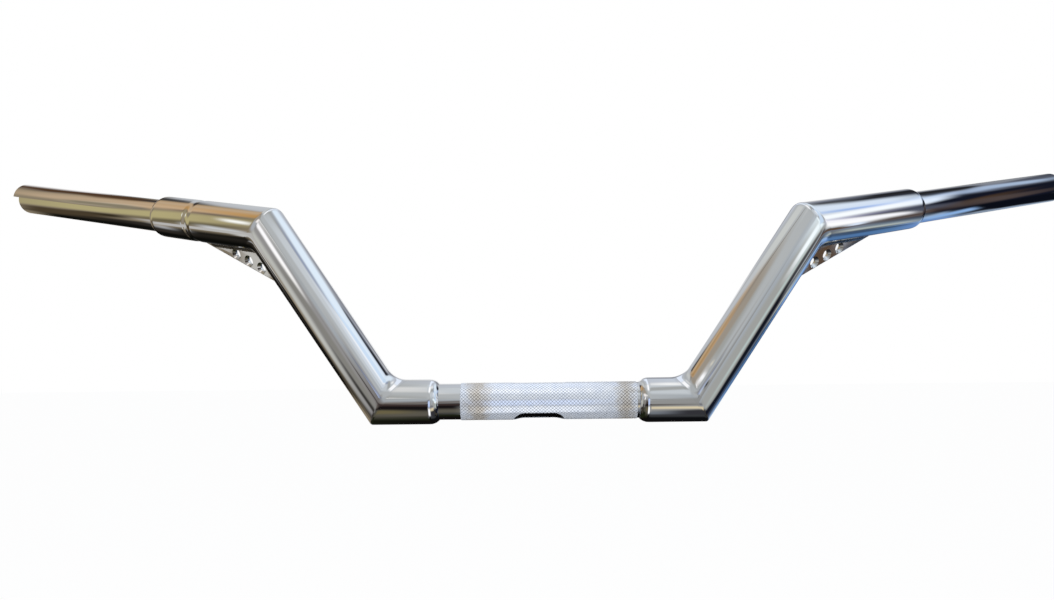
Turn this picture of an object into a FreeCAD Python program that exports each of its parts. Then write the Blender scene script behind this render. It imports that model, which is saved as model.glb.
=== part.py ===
import FreeCAD, Part
import math
import os

# A chromed motorcycle handlebar welded up from round tube, in millimetres.
# The origin is the middle of the clamp tube, on its axis. +X runs along the clamp tube
# to the clutch side, +Y towards the rider and +Z up, in the plane of the two risers.

# Tube sizes
bar_tube_diameter = 25.4
bar_tube_wall = 3.05
fat_tube_diameter = 31.75
fat_tube_wall = 3.175
spigot_clearance = 0.25
spigot_depth = 25.0

# Clamp tube
clamp_half_length = 70.6
knurl_diameter = 26.4
knurl_throttle_end = 55.3
knurl_clutch_margin = 1.6
knurl_edge_chamfer = 0.3
slot_length = 35.5
slot_width = 15.0
slot_forward_tilt = 16.0
slot_land_margin = 2.25
slot_land_relief = 0.2

# Bends: both risers stand in the XZ plane, and the arms sweep back and rise a little
lower_stub_length = 40.2
riser_flare = 84.1
riser_height = 124.8
arm_sweep = 32.01
arm_rise = 9.82
arm_length = 324.0
arm_shoulder = 120.0

# Tube ends
tube_end_chamfer = 0.5
notch_depth = 9.8
notch_height = 0.2

# Welds
shoulder_weld_length = 4.4
shoulder_weld_crown = 0.45
lower_weld_reach = 9.0
upper_weld_reach = 7.0
corner_weld_sink = 1.6
corner_weld_hollow = 0.33
corner_weld_stations = 9
corner_weld_half_angle = 78.0
bead_radius = 3.0
bead_end_gap = 10.0

# Gussets under the upper bends
gusset_thickness = 4.76
gusset_on_riser = 41.5
gusset_on_arm = 72.7
gusset_hole_diameter = 5.6
gusset_countersink_diameter = 9.0
gusset_hole_pitch = 13.5
gusset_hole_edge = 4.9
gusset_first_hole = 26.5

bar_radius = bar_tube_diameter / 2
bar_bore_radius = bar_radius - bar_tube_wall
fat_radius = fat_tube_diameter / 2
fat_bore_radius = fat_radius - fat_tube_wall
spigot_radius = fat_bore_radius - spigot_clearance
knurl_radius = knurl_diameter / 2
knurl_clutch_end = clamp_half_length - knurl_clutch_margin
lower_bend_offset = clamp_half_length + lower_stub_length
upper_bend_offset = lower_bend_offset + riser_flare

centre = FreeCAD.Vector(0, 0, 0)
x_axis = FreeCAD.Vector(1, 0, 0)
lower_bend = FreeCAD.Vector(lower_bend_offset, 0, 0)
upper_bend = FreeCAD.Vector(upper_bend_offset, 0, riser_height)
riser_length = lower_bend.distanceToPoint(upper_bend)
riser_way = (upper_bend - lower_bend) / riser_length
arm_way = FreeCAD.Vector(
    math.cos(math.radians(arm_rise)) * math.cos(math.radians(arm_sweep)),
    math.cos(math.radians(arm_rise)) * math.sin(math.radians(arm_sweep)),
    math.sin(math.radians(arm_rise)),
)


def unit(vector):
    return vector / vector.Length


def turned(edges, start, way):
    """A solid of revolution: the profile's x runs along the axis and its y is the radius."""
    face = Part.Face(Part.Wire(Part.__sortEdges__(edges)))
    solid = face.revolve(centre, x_axis, 360)
    solid.Placement = FreeCAD.Placement(start, FreeCAD.Rotation(x_axis, way))
    return Part.Solid(solid) if solid.ShapeType == "Shell" else solid


def outline(points):
    """Straight profile edges through the points, closed back to the first."""
    corners = [FreeCAD.Vector(along, radius, 0) for along, radius in points]
    return [Part.LineSegment(a, b).toShape() for a, b in zip(corners, corners[1:] + corners[:1])]


def tube(outer, inner, start_at, end_at, start, way):
    points = [(start_at, inner), (end_at, inner), (end_at, outer), (start_at, outer)]
    return turned(outline(points), start, way)


def beyond(bend, way, keep_way):
    """Everything on the far side of a mitre plane, seen from the tube that runs keep_way."""
    normal = unit(keep_way - way)
    reach = 4 * fat_tube_diameter
    return Part.makeCylinder(reach, reach, bend, normal * -1)


def mitred(outer, inner, start_at, end_at, start, way, bends):
    """A tube along way, cut at each bend by the plane halfway to the tube it meets."""
    if inner > 0:
        solid = tube(outer, inner, start_at, end_at, start, way)
    else:
        solid = Part.makeCylinder(outer, end_at - start_at, start + way * start_at, way)
    for bend, neighbour_way, own_way in bends:
        solid = solid.cut(beyond(bend, neighbour_way, own_way))
    return solid


def lower_stub(inner):
    start_at = clamp_half_length + shoulder_weld_length
    end_at = lower_bend_offset + fat_tube_diameter
    return mitred(fat_radius, inner, start_at, end_at, centre, x_axis, [(lower_bend, riser_way, x_axis * -1)])


def riser(inner):
    ends = [(lower_bend, x_axis * -1, riser_way), (upper_bend, arm_way, riser_way * -1)]
    over = fat_tube_diameter
    return mitred(fat_radius, inner, -over, riser_length + over, lower_bend, riser_way, ends)


def upper_stub(inner):
    end_at = arm_shoulder - shoulder_weld_length
    ends = [(upper_bend, riser_way * -1, arm_way)]
    return mitred(fat_radius, inner, -fat_tube_diameter, end_at, upper_bend, arm_way, ends)


def grip_tube():
    """The plain 1 inch tube that carries a grip, its end turned down to fit the upper stub."""
    start_at = arm_shoulder - shoulder_weld_length - spigot_depth
    edge = tube_end_chamfer
    points = [
        (start_at, bar_bore_radius),
        (arm_length - edge, bar_bore_radius),
        (arm_length, bar_bore_radius + edge),
        (arm_length, bar_radius - edge),
        (arm_length - edge, bar_radius),
        (arm_shoulder, bar_radius),
        (arm_shoulder, spigot_radius),
        (start_at, spigot_radius),
    ]
    return turned(outline(points), upper_bend, arm_way)


def mirrored(shape):
    return shape.mirror(centre, x_axis)


def notched(shape):
    """The throttle end: below a tab at the top, the tube is cut back for a twist-grip sensor."""
    way = FreeCAD.Vector(-arm_way.x, arm_way.y, arm_way.z)
    tip = FreeCAD.Vector(-upper_bend.x, upper_bend.y, upper_bend.z) + way * arm_length
    up = unit(FreeCAD.Vector(0, 0, 1) - way * way.z)
    across = way.cross(up)
    half = fat_tube_diameter
    top = tip + up * notch_height
    corners = [
        top - across * half - way * notch_depth,
        top + across * half - way * notch_depth,
        top + across * half + way * notch_depth,
        top - across * half + way * notch_depth,
    ]
    face = Part.Face(Part.makePolygon(corners + corners[:1]))
    return shape.cut(face.extrude(up * -half))


def clamp_tube():
    """The 1 inch tube through the clamps: a knurled seat either side of the wiring slot."""
    end = clamp_half_length + shoulder_weld_length + spigot_depth
    edge = knurl_edge_chamfer
    land = slot_length / 2 + slot_land_margin
    land_radius = knurl_radius - slot_land_relief
    points = [
        (-end, bar_bore_radius),
        (end, bar_bore_radius),
        (end, spigot_radius),
        (clamp_half_length, spigot_radius),
        (clamp_half_length, bar_radius),
        (knurl_clutch_end, bar_radius),
        (knurl_clutch_end - edge, knurl_radius),
        (land, knurl_radius),
        (land, land_radius),
        (-land, land_radius),
        (-land, knurl_radius),
        (-knurl_throttle_end + edge, knurl_radius),
        (-knurl_throttle_end, bar_radius),
        (-clamp_half_length, bar_radius),
        (-clamp_half_length, spigot_radius),
        (-end, spigot_radius),
    ]
    return turned(outline(points), centre, x_axis).cut(wiring_slot())


def wiring_slot():
    """A round-ended slot through the underside, turned a little towards the front."""
    radius = slot_width / 2
    half = slot_length / 2 - radius
    corners = [
        FreeCAD.Vector(-half, -radius, 0),
        FreeCAD.Vector(half, -radius, 0),
        FreeCAD.Vector(half + radius, 0, 0),
        FreeCAD.Vector(half, radius, 0),
        FreeCAD.Vector(-half, radius, 0),
        FreeCAD.Vector(-half - radius, 0, 0),
    ]
    edges = [
        Part.LineSegment(corners[0], corners[1]).toShape(),
        Part.Arc(corners[1], corners[2], corners[3]).toShape(),
        Part.LineSegment(corners[3], corners[4]).toShape(),
        Part.Arc(corners[4], corners[5], corners[0]).toShape(),
    ]
    cutter = Part.Face(Part.Wire(edges)).extrude(FreeCAD.Vector(0, 0, -fat_tube_diameter))
    cutter.rotate(centre, x_axis, -slot_forward_tilt)
    return cutter


def shoulder_weld(start, way, toe_at):
    """The dressed ring of weld that slopes from the fat tube's end down to the 1 inch tube."""
    foot = FreeCAD.Vector(toe_at, spigot_radius, 0)
    toe = FreeCAD.Vector(toe_at, bar_radius, 0)
    root = FreeCAD.Vector(toe_at + shoulder_weld_length, spigot_radius, 0)
    brim = FreeCAD.Vector(toe_at + shoulder_weld_length, fat_radius, 0)
    slope = unit(brim - toe)
    crown = (toe + brim) / 2 + FreeCAD.Vector(-slope.y, slope.x, 0) * shoulder_weld_crown
    edges = [
        Part.LineSegment(toe, foot).toShape(),
        Part.LineSegment(foot, root).toShape(),
        Part.LineSegment(root, brim).toShape(),
        Part.Arc(brim, crown, toe).toShape(),
    ]
    return turned(edges, start, way)


def corner_weld(bend, way_a, way_b, reach, tubes):
    """The dressed weld in the inside corner of a mitre, fading out towards its two sides."""
    inward = unit(way_a + way_b)
    side = unit(way_a.cross(way_b))
    half_angle = way_a.getAngle(way_b) / 2
    across = fat_radius / math.sin(half_angle)
    sections = []
    for station in range(corner_weld_stations):
        share = 2 * station / (corner_weld_stations - 1) - 1
        turn = math.radians(corner_weld_half_angle * share)
        size = reach * math.cos(turn)
        seam = bend + inward * (across * math.cos(turn)) + side * (fat_radius * math.sin(turn))
        root = seam - inward * corner_weld_sink
        end_a = seam + way_a * size
        end_b = seam + way_b * size
        middle = seam + inward * (size * corner_weld_hollow)
        sections.append(Part.Wire([
            Part.LineSegment(root, end_a).toShape(),
            Part.Arc(end_a, middle, end_b).toShape(),
            Part.LineSegment(end_b, root).toShape(),
        ]))
    weld = Part.makeLoft(sections, True, False)
    for solid in tubes:
        weld = weld.cut(solid)
    return weld


def bend_point(in_along, out_along):
    """A point in the upper bend's plane: inwards along the bisector, and towards the arm."""
    inward = unit(arm_way - riser_way)
    outward = unit(arm_way + riser_way)
    return upper_bend + inward * in_along + outward * out_along


def gusset(neighbours):
    """A flat plate in the plane of the bend, coped to both tubes, with three drilled holes."""
    normal = unit(riser_way.cross(arm_way))
    half_angle = arm_way.getAngle(riser_way * -1) / 2
    riser_end = underside(riser_way * -1, gusset_on_riser)
    arm_end = underside(arm_way, gusset_on_arm)
    corner = bend_point(fat_radius / math.sin(half_angle), 0)
    sink = unit(arm_way - riser_way) * -corner_weld_sink
    corners = [corner + sink, riser_end + sink, riser_end, arm_end, arm_end + sink]
    face = Part.Face(Part.makePolygon(corners + corners[:1]))
    plate = face.extrude(normal * gusset_thickness)
    plate.translate(normal * (-gusset_thickness / 2))
    for solid in neighbours:
        plate = plate.cut(solid)
    along = unit(arm_end - riser_end)
    inside = normal.cross(along)
    if inside.dot(corner - riser_end) < 0:
        inside = inside * -1
    bevel = (gusset_countersink_diameter - gusset_hole_diameter) / 2
    for number in range(3):
        at = gusset_first_hole + number * gusset_hole_pitch
        hole = riser_end + along * at + inside * gusset_hole_edge
        radius = gusset_hole_diameter / 2
        drill = Part.makeCylinder(radius, 2 * gusset_thickness, hole - normal * gusset_thickness, normal)
        plate = plate.cut(drill)
        for face_way in (normal, normal * -1):
            brim = hole + face_way * (gusset_thickness / 2)
            sink_tool = Part.makeCone(gusset_countersink_diameter / 2, radius, bevel, brim, face_way * -1)
            plate = plate.cut(sink_tool)
    return plate


def underside(way, distance):
    """The point of a fat tube's inner side in the bend's plane, at a distance along its axis."""
    inward = unit(arm_way - riser_way)
    off_axis = unit(inward - way * way.dot(inward))
    return upper_bend + way * distance + off_axis * fat_radius


def gusset_welds(plate, neighbours):
    """Four fillet beads: both faces of the plate, along the riser and along the arm."""
    normal = unit(riser_way.cross(arm_way))
    inward = unit(arm_way - riser_way)
    beads = []
    for way, far in ((riser_way * -1, gusset_on_riser), (arm_way, gusset_on_arm)):
        off_axis = unit(inward - way * way.dot(inward))
        half_angle = arm_way.getAngle(riser_way * -1) / 2
        near = fat_radius / math.tan(half_angle) + upper_weld_reach + bead_radius
        length = far - bead_end_gap - near
        half = gusset_thickness / 2
        height = math.sqrt(fat_radius ** 2 - half ** 2)
        for face_side in (half, -half):
            start = upper_bend + way * near + off_axis * height + normal * face_side
            bead = Part.makeCylinder(bead_radius, length, start, way)
            bead = bead.fuse(Part.makeSphere(bead_radius, start))
            bead = bead.fuse(Part.makeSphere(bead_radius, start + way * length))
            bead = bead.cut(plate)
            for solid in neighbours:
                bead = bead.cut(solid)
            beads.append(bead)
    return Part.makeCompound(beads)


def write(name, shape):
    shape.exportStep("parts/" + name + ".step")


def write_pair(name, shape):
    """The clutch side as modelled and the throttle side as its mirror image."""
    write("clutch_" + name, shape)
    write("throttle_" + name, mirrored(shape))


os.makedirs("parts", exist_ok=True)

stub_core = lower_stub(0)
riser_core = riser(0)
arm_core = upper_stub(0)
lower_weld = corner_weld(lower_bend, x_axis * -1, riser_way, lower_weld_reach, [stub_core, riser_core])
upper_weld = corner_weld(upper_bend, riser_way * -1, arm_way, upper_weld_reach, [riser_core, arm_core])
bend_cores = [riser_core, arm_core, upper_weld]
plate = gusset(bend_cores)

write("clamp_tube", clamp_tube())
write_pair("lower_stub", lower_stub(fat_bore_radius))
write_pair("riser", riser(fat_bore_radius))
write_pair("upper_stub", upper_stub(fat_bore_radius))
write("clutch_grip_tube", grip_tube())
write("throttle_grip_tube", notched(mirrored(grip_tube())))
write_pair("gusset", plate)
write_pair("clamp_weld", shoulder_weld(centre, x_axis, clamp_half_length))
write_pair("grip_weld", shoulder_weld(upper_bend + arm_way * arm_shoulder, arm_way * -1, 0))
write_pair("lower_weld", lower_weld)
write_pair("upper_weld", upper_weld)
write_pair("gusset_weld", gusset_welds(plate, bend_cores))
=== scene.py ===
import bpy
import bmesh
import numpy as np
from math import cos, hypot, pi, radians, sin, sqrt, tan
from mathutils import Matrix, Vector


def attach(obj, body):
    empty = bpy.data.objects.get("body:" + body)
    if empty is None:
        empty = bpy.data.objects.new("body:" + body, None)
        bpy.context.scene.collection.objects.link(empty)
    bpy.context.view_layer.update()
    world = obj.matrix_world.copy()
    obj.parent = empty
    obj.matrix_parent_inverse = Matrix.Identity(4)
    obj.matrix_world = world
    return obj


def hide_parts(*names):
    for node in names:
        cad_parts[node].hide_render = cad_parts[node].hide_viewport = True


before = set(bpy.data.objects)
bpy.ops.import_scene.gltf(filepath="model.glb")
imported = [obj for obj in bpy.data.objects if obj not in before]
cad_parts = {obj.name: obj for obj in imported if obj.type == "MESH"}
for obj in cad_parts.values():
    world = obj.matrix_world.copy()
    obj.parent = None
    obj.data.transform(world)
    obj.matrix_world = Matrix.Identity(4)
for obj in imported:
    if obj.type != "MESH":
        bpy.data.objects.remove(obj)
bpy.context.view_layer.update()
print("frame loaded,", len(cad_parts), "nodes")

mm = 0.001
spokes = 192  # facets round every tube
sides = ("throttle", "clutch")

# The bar's layout as the CAD has it, in millimetres and degrees, clutch side
bar = {
    "barRadius": 12.7, "boreRadius": 9.65, "spigotRadius": 12.45, "spigotDepth": 25.0,
    "boreMargin": 0.2,  # a face this near the bore is its wall
    "fatRadius": 15.875, "fatBore": 12.7,
    "collarStart": 70.6, "collarLength": 4.4, "stubStart": 75.0,
    "lowerBend": 110.8, "upperBend": 194.9, "riserHeight": 124.8,
    "armSweep": 32.01, "armRise": 9.82, "armShoulder": 120.0, "armEnd": 324.0,
}

clampWay = Vector((1, 0, 0))
lowerPoint = Vector((bar["lowerBend"], 0, 0)) * mm
upperPoint = Vector((bar["upperBend"], 0, bar["riserHeight"])) * mm
riserWay = (upperPoint - lowerPoint).normalized()
sweep, rise = radians(bar["armSweep"]), radians(bar["armRise"])
armWay = Vector((cos(rise) * cos(sweep), cos(rise) * sin(sweep), sin(rise)))
armPlace = Matrix.Translation(upperPoint) @ armWay.to_track_quat("X", "Z").to_matrix().to_4x4()


# Materials come first, so that each piece can be finished as it is made


def linear(hexColour):
    parts = [int(hexColour[i:i + 2], 16) / 255 for i in (0, 2, 4)]
    return tuple(c / 12.92 if c < 0.04045 else ((c + 0.055) / 1.055) ** 2.4 for c in parts) + (1,)


def feed(tree, node, sources):  # sets each input, or links it where its source is a socket
    for label, source in sources.items():
        if isinstance(source, bpy.types.NodeSocket):
            tree.links.new(source, node.inputs[label])
        else:
            node.inputs[label].default_value = source


def addNode(tree, kind, where, sources=None, **settings):
    node = tree.nodes.new("ShaderNode" + kind)
    node.location = where
    for label, value in settings.items():
        setattr(node, label, value)
    feed(tree, node, sources or {})
    return node


def addMath(tree, operation, where, *sources):
    return addNode(tree, "Math", where, dict(enumerate(sources)), operation=operation).outputs[0]


def openGroup(name, inputs):  # gives the group and what it is fed
    group = bpy.data.node_groups.new(name, "ShaderNodeTree")
    for label, value in {"Vector": (0, 0, 0), **inputs}.items():
        kind = {1: "Float", 3: "Vector", 4: "Color"}[np.size(value)]
        socket = group.interface.new_socket(label, in_out="INPUT", socket_type="NodeSocket" + kind)
        socket.default_value = value
    start = group.nodes.new("NodeGroupInput")
    start.location = (-900, 0)
    return group, start.outputs


def closeGroup(group, label, kind, source):
    group.interface.new_socket(label, in_out="OUTPUT", socket_type="NodeSocket" + kind)
    end = group.nodes.new("NodeGroupOutput")
    end.location = (600, 0)
    feed(group, end, {label: source})
    return group


def placeGroup(tree, group, where, place, **values):  # gives the group's one output
    sources = {label.replace("_", " "): value for label, value in values.items()}
    return addNode(tree, "Group", where, {"Vector": place, **sources}, node_tree=group).outputs[0]


def addNoise(group, given, where, scale="Scale", **values):
    return addNode(group, "TexNoise", where, {
        "Vector": given["Vector"], "Scale": given[scale], **values}).outputs["Fac"]


def buildPlatingWave():
    group, given = openGroup("platingWave", {
        "Wave Scale": 30.0, "Wave Height": 0.01, "Peel Scale": 300.0, "Peel Height": 0.001})
    heights = []
    for row, part in enumerate(("Wave", "Peel")):
        noise = addNoise(group, given, (-600, -260 * row), part + " Scale", Detail=1.0 + row)
        heights.append(addMath(group, "MULTIPLY", (-300, -260 * row), noise, given[part + " Height"]))
    return closeGroup(group, "Height", "Float", addMath(group, "ADD", (0, 0), *heights))


def buildHandlingHaze():
    group, given = openGroup("handlingHaze", {"Scale": 18.0, "Low": 0.03, "High": 0.08})
    smear = addNoise(group, given, (-600, 100), Detail=6.0, Distortion=0.7)
    mask = addNode(group, "MapRange", (-300, 100), {
        "Value": smear, "From Min": 0.42, "From Max": 0.72}, interpolation_type="SMOOTHSTEP")
    spread = addNode(group, "MapRange", (0, 100), {
        "Value": mask.outputs["Result"], "To Min": given["Low"], "To Max": given["High"]})
    return closeGroup(group, "Roughness", "Float", spread.outputs["Result"])


def buildPlatingTint():
    group, given = openGroup("platingTint", {
        "Scale": 9.0, "Bright": (0.9, 0.9, 0.9, 1), "Dull": (0.8, 0.8, 0.8, 1)})
    drift = addNoise(group, given, (-600, 0), Detail=3.0)
    mix = addNode(group, "Mix", (-200, 0), {
        "Factor": drift, "A": given["Bright"], "B": given["Dull"]}, data_type="RGBA")
    return closeGroup(group, "Colour", "Color", mix.outputs["Result"])


def buildHairlines():
    group, given = openGroup("hairlines", {"Stretch": (1, 1, 1), "Depth": 0.002})
    stretch = addNode(group, "VectorMath", (-600, 0), {
        0: given["Vector"], 1: given["Stretch"]}, operation="MULTIPLY")
    lines = addNode(group, "TexNoise", (-400, 0), {
        "Vector": stretch.outputs[0], "Scale": 1.0, "Detail": 4.0})
    mask = addNode(group, "MapRange", (-150, 0), {
        "Value": lines.outputs["Fac"], "From Min": 0.35, "From Max": 0.7})
    depth = addMath(group, "MULTIPLY", (150, 0), mask.outputs["Result"], given["Depth"])
    return closeGroup(group, "Height", "Float", depth)


def buildPaintedReflectionBand():  # a painted reflection: a brownish band that the knurl mirrors, with ragged edges
    group, given = openGroup("paintedReflectionBand", {
        "Centre": 0.0, "Half Width": 0.01, "Softness": 0.004, "Streak Scale": 160.0, "Raggedness": 0.014})
    parts = addNode(group, "SeparateXYZ", (-700, 100), {0: given["Vector"]})
    streaks = addNoise(group, given, (-700, -150), "Streak Scale", Detail=3.0)
    apart = addMath(group, "ABSOLUTE", (-350, 100),
                    addMath(group, "SUBTRACT", (-500, 100), parts.outputs["X"], given["Centre"]))
    streak = addMath(group, "SUBTRACT", (-500, -150), streaks, 0.5)
    ragged = addMath(group, "MULTIPLY", (-350, -150), streak, given["Raggedness"])
    half, soft = given["Half Width"], given["Softness"]
    edge = addNode(group, "MapRange", (0, 0), {
        "Value": addMath(group, "ADD", (-200, 50), apart, ragged),
        "From Min": addMath(group, "ADD", (-200, -50), half, soft),
        "From Max": addMath(group, "SUBTRACT", (-200, -200), half, soft)}, interpolation_type="SMOOTHSTEP")
    return closeGroup(group, "Mask", "Float", edge.outputs["Result"])


platingWave = buildPlatingWave()
paintedReflectionBand = buildPaintedReflectionBand()
handlingHaze = buildHandlingHaze()
platingTint = buildPlatingTint()
hairlines = buildHairlines()


def metalFinish(name, look):
    material = bpy.data.materials.new(name)
    material.use_nodes = True
    tree = material.node_tree
    place = addNode(tree, "TexCoord", (-1300, 0)).outputs["Object"]
    colour = placeGroup(tree, platingTint, (-500, 300), place, Scale=look["tintScale"],
                        Bright=linear(look["bright"]), Dull=linear(look["dull"]))
    haze = placeGroup(tree, handlingHaze, (-500, 0), place, Scale=look["hazeScale"], Low=look["smooth"],
                      High=look["hazy"])
    wave = placeGroup(tree, platingWave, (-800, -300), place, Wave_Scale=look["waveScale"],
                      Wave_Height=look["waveHeight"], Peel_Scale=look["peelScale"],
                      Peel_Height=look["peelHeight"])
    lines = placeGroup(tree, hairlines, (-800, -600), place, Stretch=look["lineStretch"],
                       Depth=look["lineDepth"])
    bump = addNode(tree, "Bump", (-250, -400), {
        "Height": addMath(tree, "ADD", (-500, -400), wave, lines), "Distance": mm})
    # painted reflections: brownish bands mixed into the base colour where the knurl mirrors brown
    # surroundings
    for number, (centre, half, soft, shade) in enumerate(look.get("worn", [])):
        zone = placeGroup(tree, paintedReflectionBand, (-500, 600 + 250 * number), place, Centre=centre * mm,
                          Half_Width=half * mm, Softness=soft * mm)
        mix = addNode(tree, "Mix", (-250, 600 + 250 * number), {
            "Factor": zone, "A": colour, "B": linear(shade)}, data_type="RGBA")
        colour = mix.outputs["Result"]
    feed(tree, tree.nodes["Principled BSDF"], {
        "Metallic": look.get("metallic", 1.0), "Base Color": colour, "Roughness": haze,
        "Normal": bump.outputs["Normal"]})
    return material


polishedChrome = metalFinish("polishedChrome", dict(
    bright="f0f1f3", dull="e4e5e8", tintScale=7.0, smooth=0.012, hazy=0.035,
    hazeScale=22.0, waveScale=28.0, waveHeight=0.02, peelScale=420.0,
    peelHeight=0.0003, lineStretch=(60, 900, 900), lineDepth=0.0002))
dressedWeld = metalFinish("dressedWeld", dict(
    bright="eeeff1", dull="dfe0e3", tintScale=30.0, smooth=0.03, hazy=0.1,
    hazeScale=60.0, waveScale=120.0, waveHeight=0.02, peelScale=700.0,
    peelHeight=0.001, lineStretch=(300, 900, 900), lineDepth=0.0005))
# painted shade: the beads' chrome is a darker copy of the rest, for the dark underside they mirror in the
# corner under the tubes
shadedBeadChrome = metalFinish("shadedBeadChrome", dict(
    bright="a5a4a3", dull="7b7977", tintScale=80.0, smooth=0.05, hazy=0.14,
    hazeScale=120.0, waveScale=400.0, waveHeight=0.03, peelScale=1500.0,
    peelHeight=0.002, lineStretch=(900, 900, 900), lineDepth=0.001))
plateChrome = metalFinish("plateChrome", dict(
    bright="ecebea", dull="d6d5d3", tintScale=40.0, smooth=0.03, hazy=0.09,
    hazeScale=70.0, waveScale=90.0, waveHeight=0.012, peelScale=900.0,
    peelHeight=0.0006, lineStretch=(200, 200, 1400), lineDepth=0.0005))
# painted reflection, in part: with little metal, the knurl's near-white, bluish, mottled base colour lights
# up evenly and stands for the blue-white sparkle its facets mirror
knurlLook = dict(
    # painted reflections: brownish bands along the knurl, as centre, half width, softness and colour
    metallic=0.42, worn=[(-43, 6, 6, "d9d3cb"), (61, 5, 5, "d3cec7")],
    bright="fbfdff", dull="e0eafc", tintScale=160.0, smooth=0.1, hazy=0.18,
    hazeScale=55.0, waveScale=300.0, waveHeight=0.01, peelScale=1800.0,
    peelHeight=0.003, lineStretch=(1200, 1200, 1200), lineDepth=0.002)
knurledChrome = metalFinish("knurledChrome", knurlLook)
# painted shade: the grooves' flanks get a darker, duller copy of the knurl's colour, for the shade in the
# recesses
shadedKnurlGrooves = metalFinish("shadedKnurlGrooves", dict(
    knurlLook, bright="c2c9d4", dull="a2a9b5", smooth=0.2, hazy=0.35,
    # the same painted reflection bands, darker in the grooves
    worn=[(-43, 6, 6, "6f665c"), (61, 5, 5, "6c655d")]))
boreSteel = metalFinish("boreSteel", dict(
    bright="3a3835", dull="24211f", tintScale=60.0, smooth=0.35, hazy=0.6,
    hazeScale=90.0, waveScale=200.0, waveHeight=0.02, peelScale=1500.0,
    peelHeight=0.01, lineStretch=(100, 1500, 1500), lineDepth=0.01))
print("materials built")


# Helpers for pieces


def soften(piece, sharpAt):
    piece.data.shade_smooth()
    piece.data.set_sharp_from_angle(angle=radians(sharpAt))


def addPiece(name, bm, material, sharpAt=30, inside=None):
    bmesh.ops.remove_doubles(bm, verts=bm.verts, dist=1e-6)
    bmesh.ops.recalc_face_normals(bm, faces=bm.faces)
    mesh = bpy.data.meshes.new(name)
    bm.to_mesh(mesh)
    bm.free()
    piece = bpy.data.objects.new(name, mesh)
    bpy.context.scene.collection.objects.link(piece)
    mesh.materials.append(material)
    if inside:
        mesh.materials.append(inside)
    soften(piece, sharpAt)
    return piece


def carve(piece, cutter, sharpAt=30):
    cut = piece.modifiers.new("cut", "BOOLEAN")
    cut.operation, cut.solver, cut.object = "DIFFERENCE", "EXACT", cutter
    depsgraph = bpy.context.evaluated_depsgraph_get()
    carved = bpy.data.meshes.new_from_object(piece.evaluated_get(depsgraph))
    piece.modifiers.clear()
    name, plain = piece.data.name, piece.data
    piece.data = carved
    bpy.data.meshes.remove(plain)
    carved.name = name
    soften(piece, sharpAt)


def takeSide(bm, side):
    if side == "throttle":
        bmesh.ops.scale(bm, vec=(-1, 1, 1), verts=bm.verts)


def shares(steps):
    return [step / steps for step in range(steps + 1)]


def vertsIn(parts):
    return [part for part in parts if isinstance(part, bmesh.types.BMVert)]


def growLoop(bm, edges):  # draws a loop out and gives the new loop's vertices and edges
    grown = bmesh.ops.extrude_edge_only(bm, edges=edges)["geom"]
    ring = vertsIn(grown)
    fresh = set(ring)
    return ring, [part for part in grown
                  if isinstance(part, bmesh.types.BMEdge) and fresh.issuperset(part.verts)]


def drawThrough(bm, rings, count, capped=False):  # draws a loop from ring to ring
    spoke = bm.verts.layers.int["spoke"]
    loop = bmesh.ops.create_circle(bm, cap_ends=capped, segments=count, radius=mm)["verts"]
    for number, vert in enumerate(loop):
        vert[spoke] = number
    edges = list(dict.fromkeys(edge for vert in loop for edge in vert.link_edges))
    for step, place in enumerate(rings):
        if step:
            loop, edges = growLoop(bm, edges)
        for vert in loop:
            vert.co = place(vert[spoke])
    if capped:
        bmesh.ops.contextual_create(bm, geom=edges)


def newRingMesh():
    bm = bmesh.new()
    bm.verts.layers.int.new("spoke")
    return bm


def lathe(points):  # turns a closed outline of (along, radius) about the X axis
    bm = bmesh.new()
    corners = [bm.verts.new((along * mm, 0, radius * mm)) for along, radius in points]
    for one, other in zip(corners, corners[1:] + corners[:1]):
        bm.edges.new((one, other))
    bmesh.ops.spin(bm, geom=bm.verts[:] + bm.edges[:], cent=(0, 0, 0), axis=(1, 0, 0),
                   angle=2 * pi, steps=spokes, use_merge=True)
    return bm


def darkenBore(piece, start, way):
    for face in piece.data.polygons:
        offset = face.center - start
        apart = (offset - way * offset.dot(way)).length / mm
        endFace = abs(face.normal.dot(way)) > 0.9
        if apart < bar["boreRadius"] + bar["boreMargin"] and not endFace:
            face.material_index = 1


def finishPiece(piece, slot, *nodes):
    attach(piece, "root")
    if nodes:
        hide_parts(*nodes)


# Fat tubes: mitred legs with a dressed weld between them

# How far each weld reaches from its seam, inside and outside the bend, and how fast it narrows
bends = {
    "lower": {"at": lowerPoint, "before": -clampWay, "after": riserWay, "inner": 9.0,
              "throttle": {"outer": 1.3, "spread": 3.0}, "clutch": {"outer": 1.3, "spread": 3.0}},
    "upper": {"at": upperPoint, "before": -riserWay, "after": armWay, "inner": 10.0,
              "throttle": {"outer": 1.9, "spread": 1.8}, "clutch": {"outer": 2.2, "spread": 1.4}},
}
legBefore = {"lower": "clamp", "upper": "riser"}
weldBand = {"margin": 1.0, "steps": 16}
brim = {"drop": 0.35, "run": 3.5, "steps": 6}
stubGroove = {"along": 72.5, "half": 5.5, "depth": 0.4, "steps": 20}


def mitreNormal(bend):
    return (bend["before"] - bend["after"]).normalized()


def mirroredIn(direction, normal):
    return direction - normal * (2 * direction.dot(normal))


def spokeOn(leg, number):  # the same spoke runs on from leg to leg, mirrored in each mitre
    turn = 2 * pi * number / spokes
    direction = Vector((0, cos(turn), sin(turn)))
    if leg in ("riser", "arm"):
        direction = mirroredIn(direction, mitreNormal(bends["lower"]))
    if leg == "arm":
        direction = mirroredIn(direction, mitreNormal(bends["upper"]))
    return direction


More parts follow.
